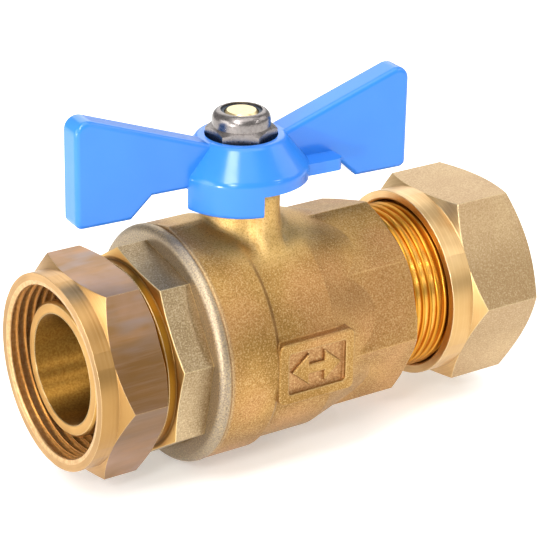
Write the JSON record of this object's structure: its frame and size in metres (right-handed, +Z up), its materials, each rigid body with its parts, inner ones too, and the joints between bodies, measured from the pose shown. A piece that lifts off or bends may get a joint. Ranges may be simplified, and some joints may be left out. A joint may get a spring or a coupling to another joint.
{
  "type": "isolating valve",
  "caption": "Straight brass ball valve with a butterfly handle, a loose union nut on a plain spigot at one end and a compression nut at the other, to shut off a pipe by a quarter turn.",
  "frame": {"origin": "centre of the ball, where the pipe axis crosses the stem axis", "axes": "+X along the pipe axis towards the compression nut, +Z up the stem towards the handle, -Y towards the badge pad"},
  "size_m": [0.0849, 0.0395, 0.0607],
  "materials": {
    "blasted_brass": "forged and blasted",
    "connector_brass": "blasted with turned edges",
    "drawn_brass": "drawn bar with turned collar",
    "spring_steel": "plain",
    "pressed_brass": "fine blasted",
    "soft_brass": "turned",
    "chromed_ball": "polished chrome plate",
    "ptfe": "turned PTFE",
    "turned_brass": "turned",
    "seal_rubber": "moulded nitrile",
    "blue_paint": "gloss powder coat on die casting",
    "zinc_plated_steel": "bright zinc plate",
    "nylon": "moulded nylon"
  },
  "bodies": {
    "valve": {"valve_body": "blasted_brass", "end_connector": "connector_brass", "nut_retaining_ring": "spring_steel", "seat_ring_union_side": "ptfe", "seat_ring_compression_side": "ptfe", "stem_thrust_washer": "ptfe", "body_seal_ring": "seal_rubber"},
    "handle": {"butterfly_handle": "blue_paint", "stem": "turned_brass", "ball": "chromed_ball", "stem_o_ring_lower": "seal_rubber", "stem_o_ring_upper": "seal_rubber", "lock_nut": "zinc_plated_steel", "lock_nut_insert": "nylon"},
    "union_nut": {"union_nut": "drawn_brass"},
    "olive": {"compression_olive": "soft_brass"},
    "compression_nut": {"compression_nut": "pressed_brass"}
  },
  "joints": [
    {"name": "handle_turn", "type": "hinge", "parent": "valve", "child": "handle", "pos_m": [0, 0, 0], "axis": [0, 0, 1], "range_deg": [-90, 0]},
    {"name": "union_nut_swivel", "type": "hinge", "parent": "valve", "child": "union_nut", "pos_m": [-0.029, 0, 0], "axis": [1, 0, 0], "continuous": true},
    {"name": "olive_slide", "type": "slide", "parent": "valve", "child": "olive", "axis": [1, 0, 0], "range_m": [0, 0.006]},
    {"name": "compression_nut_turn", "type": "hinge", "parent": "olive", "child": "compression_nut", "pos_m": [0.041, 0, 0], "axis": [1, 0, 0], "range_deg": [0, 1440]}
  ],
  "couplings": [
    {"joint": "olive_slide", "follows": "compression_nut_turn", "m_per_rad": 0.00023873}
  ]
}
